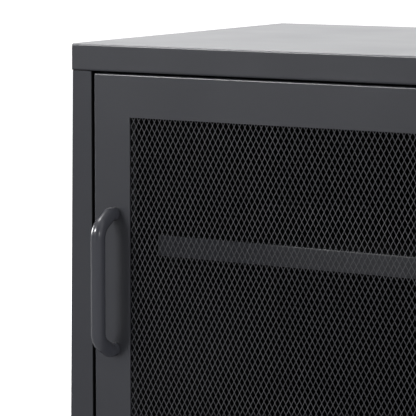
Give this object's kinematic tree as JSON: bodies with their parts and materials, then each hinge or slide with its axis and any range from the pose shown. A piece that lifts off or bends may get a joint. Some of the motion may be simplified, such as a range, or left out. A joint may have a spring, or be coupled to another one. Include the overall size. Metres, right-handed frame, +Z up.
{
  "type": "tv stand with doors",
  "caption": "Low sheet-steel media stand: mesh doors on pivot pins either side of an open bay, inner shelves, bar handles and round tapered legs.",
  "frame": {"origin": "centre of the bounding box in X and Y, at floor level", "axes": "+Z up, the doors face -Y, +X to the right as seen from the front"},
  "size_m": [1.2, 0.4318, 0.5],
  "materials": {
    "powder_coated_steel": "charcoal satin powder coat with a fine orange-peel grain",
    "mesh_sheet": "charcoal satin powder coat on expanded metal",
    "zinc_steel": "bright zinc plate",
    "bush_nylon": "natural nylon",
    "catch_plastic": "black moulded plastic",
    "glide_plastic": "black moulded plastic"
  },
  "bodies": {
    "cabinet": {"back_panel_centre": "powder_coated_steel", "back_panel_left": "powder_coated_steel", "back_panel_right": "powder_coated_steel", "clip_centre_left_front": "zinc_steel", "clip_centre_left_rear": "zinc_steel", "clip_centre_right_front": "zinc_steel", "clip_centre_right_rear": "zinc_steel", "clip_left_left_front": "zinc_steel", "clip_left_left_rear": "zinc_steel", "clip_left_right_front": "zinc_steel", "clip_left_right_rear": "zinc_steel", "clip_right_left_front": "zinc_steel", "clip_right_left_rear": "zinc_steel", "clip_right_right_front": "zinc_steel", "clip_right_right_rear": "zinc_steel", "floor_tray": "powder_coated_steel", "glide_left_front": "glide_plastic", "glide_left_rear": "glide_plastic", "glide_right_front": "glide_plastic", "glide_right_rear": "glide_plastic", "left_bush_high": "bush_nylon", "left_bush_low": "bush_nylon", "left_magnet_catch": "catch_plastic", "left_side_panel": "powder_coated_steel", "leg_left_front": "powder_coated_steel", "leg_left_rear": "powder_coated_steel", "leg_right_front": "powder_coated_steel", "leg_right_rear": "powder_coated_steel", "partition_left": "powder_coated_steel", "partition_right": "powder_coated_steel", "right_bush_high": "bush_nylon", "right_bush_low": "bush_nylon", "right_magnet_catch": "catch_plastic", "right_side_panel": "powder_coated_steel", "shelf_centre": "powder_coated_steel", "shelf_left": "powder_coated_steel", "shelf_right": "powder_coated_steel", "top_lid": "powder_coated_steel"},
    "left_door": {"left_door_frame": "powder_coated_steel", "left_door_mesh": "mesh_sheet", "left_door_strip_free": "powder_coated_steel", "left_door_strip_hinge": "powder_coated_steel", "left_handle": "powder_coated_steel", "left_handle_screw_high": "zinc_steel", "left_handle_screw_low": "zinc_steel", "left_pivot_pin_high": "zinc_steel", "left_pivot_pin_low": "zinc_steel", "left_strike_plate": "zinc_steel"},
    "right_door": {"right_door_frame": "powder_coated_steel", "right_door_mesh": "mesh_sheet", "right_door_strip_free": "powder_coated_steel", "right_door_strip_hinge": "powder_coated_steel", "right_handle": "powder_coated_steel", "right_handle_screw_high": "zinc_steel", "right_handle_screw_low": "zinc_steel", "right_pivot_pin_high": "zinc_steel", "right_pivot_pin_low": "zinc_steel", "right_strike_plate": "zinc_steel"}
  },
  "joints": [
    {"name": "left_door_hinge", "type": "hinge", "parent": "cabinet", "child": "left_door", "pos_m": [-0.2192, -0.17781, 0.2918], "axis": [0, 0, 1], "range_deg": [0, 110]},
    {"name": "right_door_hinge", "type": "hinge", "parent": "cabinet", "child": "right_door", "pos_m": [0.2192, -0.17781, 0.2918], "axis": [0, 0, -1], "range_deg": [0, 110]}
  ]
}
